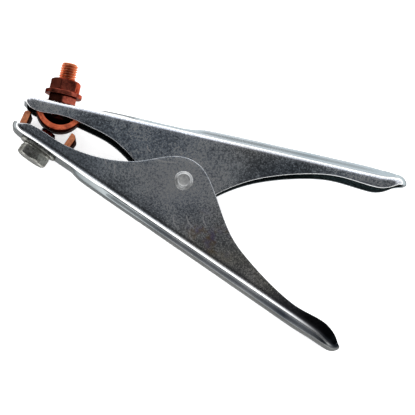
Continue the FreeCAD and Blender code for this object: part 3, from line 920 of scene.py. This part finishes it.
def add_camera():
    right = Vector((math.cos(ROLL), math.sin(ROLL), LEAN_LEFT)).normalized()
    up_flat = Vector((-math.sin(ROLL), math.cos(ROLL), LEAN_DOWN))
    back = right.cross(up_flat).normalized()
    up = back.cross(right)
    near_pivot = Vector(PIVOT) + Vector((0, 0, LOWER["width"] / 2 * MM))
    aim = near_pivot + right * AIM_RIGHT * MM + up * AIM_UP * MM
    data = bpy.data.cameras.new("camera")
    data.sensor_width = 36.0
    data.lens = 36.0 * CAMERA_FAR / (FRAME_PX / PX_PER_MM * MM)
    data.clip_start = 0.05
    camera = bpy.data.objects.new("camera", data)
    turn = Matrix((right, up, back)).transposed().to_4x4()
    camera.matrix_world = Matrix.Translation(aim + back * CAMERA_FAR) @ turn
    bpy.context.scene.collection.objects.link(camera)
    bpy.context.scene.camera = camera


def add_panel(name, where, size, power, reflected):
    """A soft box aimed at the clamp. An unreflected one lights the floor alone."""
    data = bpy.data.lights.new(name, "AREA")
    data.shape = "RECTANGLE"
    data.size, data.size_y = size
    data.energy = power
    panel = bpy.data.objects.new(name, data)
    panel.location = where
    panel.rotation_euler = (Vector((0, 0, 0.02)) - Vector(where)).to_track_quat("-Z", "Y").to_euler()
    panel.visible_glossy = reflected
    bpy.context.scene.collection.objects.link(panel)


def add_world():
    """Studio surround: bright from the horizon half way up, dark overhead, two dark flags."""
    world = bpy.data.worlds.new("studio")
    world.use_nodes = True
    tree = world.node_tree
    background = tree.nodes["Background"]
    place = tree.nodes.new("ShaderNodeTexCoord")
    split = tree.nodes.new("ShaderNodeSeparateXYZ")
    ramp = tree.nodes.new("ShaderNodeValToRGB")
    tree.links.new(place.outputs["Generated"], split.inputs[0])
    tree.links.new(split.outputs["Z"], ramp.inputs["Fac"])
    while len(ramp.color_ramp.elements) < len(SKY):
        ramp.color_ramp.elements.new(0.5)
    for element, (at, value) in zip(ramp.color_ramp.elements, SKY):
        element.position = at
        element.color = (value * 0.98, value, value * 1.03, 1)
    towards = tree.nodes.new("ShaderNodeVectorMath")
    towards.operation = "DOT_PRODUCT"
    towards.inputs[1].default_value = (-math.sin(ROLL), math.cos(ROLL), 0)
    tree.links.new(place.outputs["Generated"], towards.inputs[0])
    lift = tree.nodes.new("ShaderNodeMapRange")
    for key, number in (("From Min", -0.1), ("From Max", 0.3), ("To Min", 0.75), ("To Max", 1.35)):
        lift.inputs[key].default_value = number
    tree.links.new(towards.outputs["Value"], lift.inputs["Value"])
    scale = tree.nodes.new("ShaderNodeVectorMath")
    scale.operation = "SCALE"
    tree.links.new(ramp.outputs["Color"], scale.inputs[0])
    tree.links.new(lift.outputs["Result"], scale.inputs["Scale"])
    light = scale.outputs["Vector"]
    for right, down, clear, full in FLAGS:
        flag = tree.nodes.new("ShaderNodeVectorMath")
        flag.operation = "DOT_PRODUCT"
        flag.inputs[1].default_value = (right * math.cos(ROLL) + down * math.sin(ROLL),
                                        right * math.sin(ROLL) - down * math.cos(ROLL), 0)
        tree.links.new(place.outputs["Generated"], flag.inputs[0])
        shade = tree.nodes.new("ShaderNodeMapRange")
        for key, number in (("From Min", clear), ("From Max", full), ("To Min", 1.0), ("To Max", 0.05)):
            shade.inputs[key].default_value = number
        tree.links.new(flag.outputs["Value"], shade.inputs["Value"])
        flagged = tree.nodes.new("ShaderNodeVectorMath")
        flagged.operation = "SCALE"
        tree.links.new(light, flagged.inputs[0])
        tree.links.new(shade.outputs["Result"], flagged.inputs["Scale"])
        light = flagged.outputs["Vector"]
    tree.links.new(light, background.inputs["Color"])
    bpy.context.scene.world = world


def add_floor():
    work = bmesh.new()
    bmesh.ops.create_grid(work, x_segments=8, y_segments=8, size=3.0)
    mesh = bpy.data.meshes.new("floor")
    work.to_mesh(mesh)
    work.free()
    floor = bpy.data.objects.new("floor", mesh)
    floor.location.z = CAD_BOX[0][2] - 0.0002
    painted(floor, floor_material())
    bpy.context.scene.collection.objects.link(floor)


# ---- the clamp ----------------------------------------------------------------------------------
def dress(piece, body, node, material):
    """Colours a new piece, makes it ride on its body and stand for its CAD node."""
    painted(piece, material)
    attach(piece, body)
    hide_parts(node)


def build():
    # The fold tones and the web's flank and crown colours passed here are painted light and shade.
    upper_zinc = zinc_plate("upper_zinc_plate", UPPER, 0.55, (0.37, 0.42, 0.44), (0.37, 0.42, 0.44), 0.25)
    lower_zinc = zinc_plate("lower_zinc_plate", LOWER, 0.13, (0.045, 0.055, 0.07), (0.30, 0.31, 0.30), 0.16)
    bright = metal("rivet_zinc", (0.42, 0.43, 0.44), (0.92, 0.92, 0.90), 0.30, metallic=0.88)
    bolt_zinc = metal("bolt_zinc", (0.10, 0.10, 0.095), (0.62, 0.62, 0.57), 0.26, stain=(0.07, 0.07, 0.06),
                      edge_tint=0.25, other=(placed([(BOLT_U, 19.0, 0)], -1)[0], 8.5, (0.30, 0.04, 0.03)))
    wire = metal("oiled_spring_wire", (0.06, 0.06, 0.065), (0.20, 0.20, 0.21), 0.38)
    # The stud's head, inside the half round's hollow, is painted near black as painted shade.
    stud_copper = metal("stud_copper_plate", (0.62, 0.17, 0.08), (0.98, 0.42, 0.22), 0.36,
                        stain=(0.36, 0.09, 0.05), edge_tint=0.5,
                        other=(placed([(STACK_U, 23.0, 0)], 1)[0], 8.0, (0.07, 0.012, 0.01)))
    # Painted shade on the copper: the nut faces towards the jaw, and the strips' and saddle's sides, are
    # painted darker.
    towards_jaw = (-math.cos(ROLL), -math.sin(ROLL), 0)
    nut_copper = metal("nut_copper_plate", (0.16, 0.03, 0.02), (0.80, 0.19, 0.12), 0.30,
                       stain=(0.10, 0.02, 0.015),
                       shaded_side=(towards_jaw, 0.1, 0.5, (0.03, 0.01, 0.007)), edge_tint=0.3)
    strip_copper = metal("strip_copper", (0.60, 0.10, 0.045), (1.0, 0.25, 0.12), 0.33,
                         stain=(0.30, 0.05, 0.03),
                         metallic=0.72, shaded_side=((0, 0, 1), 0.8, 0.45, (0.05, 0.008, 0.006)), edge_tint=0.0)
    saddle_copper = metal("saddle_copper", (0.34, 0.11, 0.05), (0.85, 0.33, 0.17), 0.38,
                          stain=(0.18, 0.05, 0.03),
                          metallic=0.72, shaded_side=((0, 0, 1), 0.8, 0.45, (0.06, 0.01, 0.008)), edge_tint=0.0)

    arm = pressed_arm("upper_arm_pressing", UPPER, 1, STACK_U)
    dress(arm, "upper_arm", "upper_arm", upper_zinc)
    arm = pressed_arm("lower_arm_pressing", LOWER, -1, BOLT_U)
    dress(arm, "lower_arm", "lower_arm", lower_zinc)

    dress(rivet(), "lower_arm", "pivot_rivet", bright)
    spring = torsion_spring()
    painted(spring, wire)
    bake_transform(spring)
    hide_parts("torsion_spring")

    dress(terminal_stud(), "upper_arm", "terminal_stud", stud_copper)
    nut = joined("lock_nut", [hex_nut_shell(LOCK_NUT_V, LOCK_NUT_V + LOCK_NUT_T, LOCK_NUT_BORE_R, 0.0)], 30.0)
    dress(nut, "upper_arm", "stud_lock_nut", nut_copper)
    washer = joined("terminal_flat_washer", [washer_shell(WASHER_R, HOLE_R, WASHER_V, WASHER_T, STACK_U, 1)])
    dress(washer, "terminal_washer", "terminal_washer", nut_copper)
    nut = joined("terminal_hex_nut", [hex_nut_shell(TERMINAL_NUT_V, TERMINAL_NUT_V + TERMINAL_NUT_T,
                                                    TERMINAL_NUT_BORE_R, TERMINAL_NUT_TURN)], 30.0)
    dress(nut, "terminal_nut", "terminal_nut", nut_copper)
    dress(upper_contact(), "upper_arm", "upper_contact", strip_copper)

    dress(lower_contact(), "lower_arm", "lower_contact", saddle_copper)
    dress(lower_bolt(), "lower_arm", "lower_contact_bolt", bolt_zinc)
    shell = washer_shell(FLAT_WASHER_R, HOLE_R, WEB_V, FLAT_WASHER_T, BOLT_U, -1)
    washer = joined("large_flat_washer", [shell])
    dress(washer, "lower_arm", "lower_flat_washer", bolt_zinc)
    dress(spring_washer(), "lower_arm", "lower_spring_washer", bolt_zinc)
    painted(frame["nodes"]["pivot_sleeve"], bright)


add_camera()
add_world()
add_floor()
add_panel("overhead", (-0.1, 0.05, 1.5), (1.8, 1.8), 34.0, reflected=False)
build()
bpy.context.scene.view_settings.view_transform = "Standard"
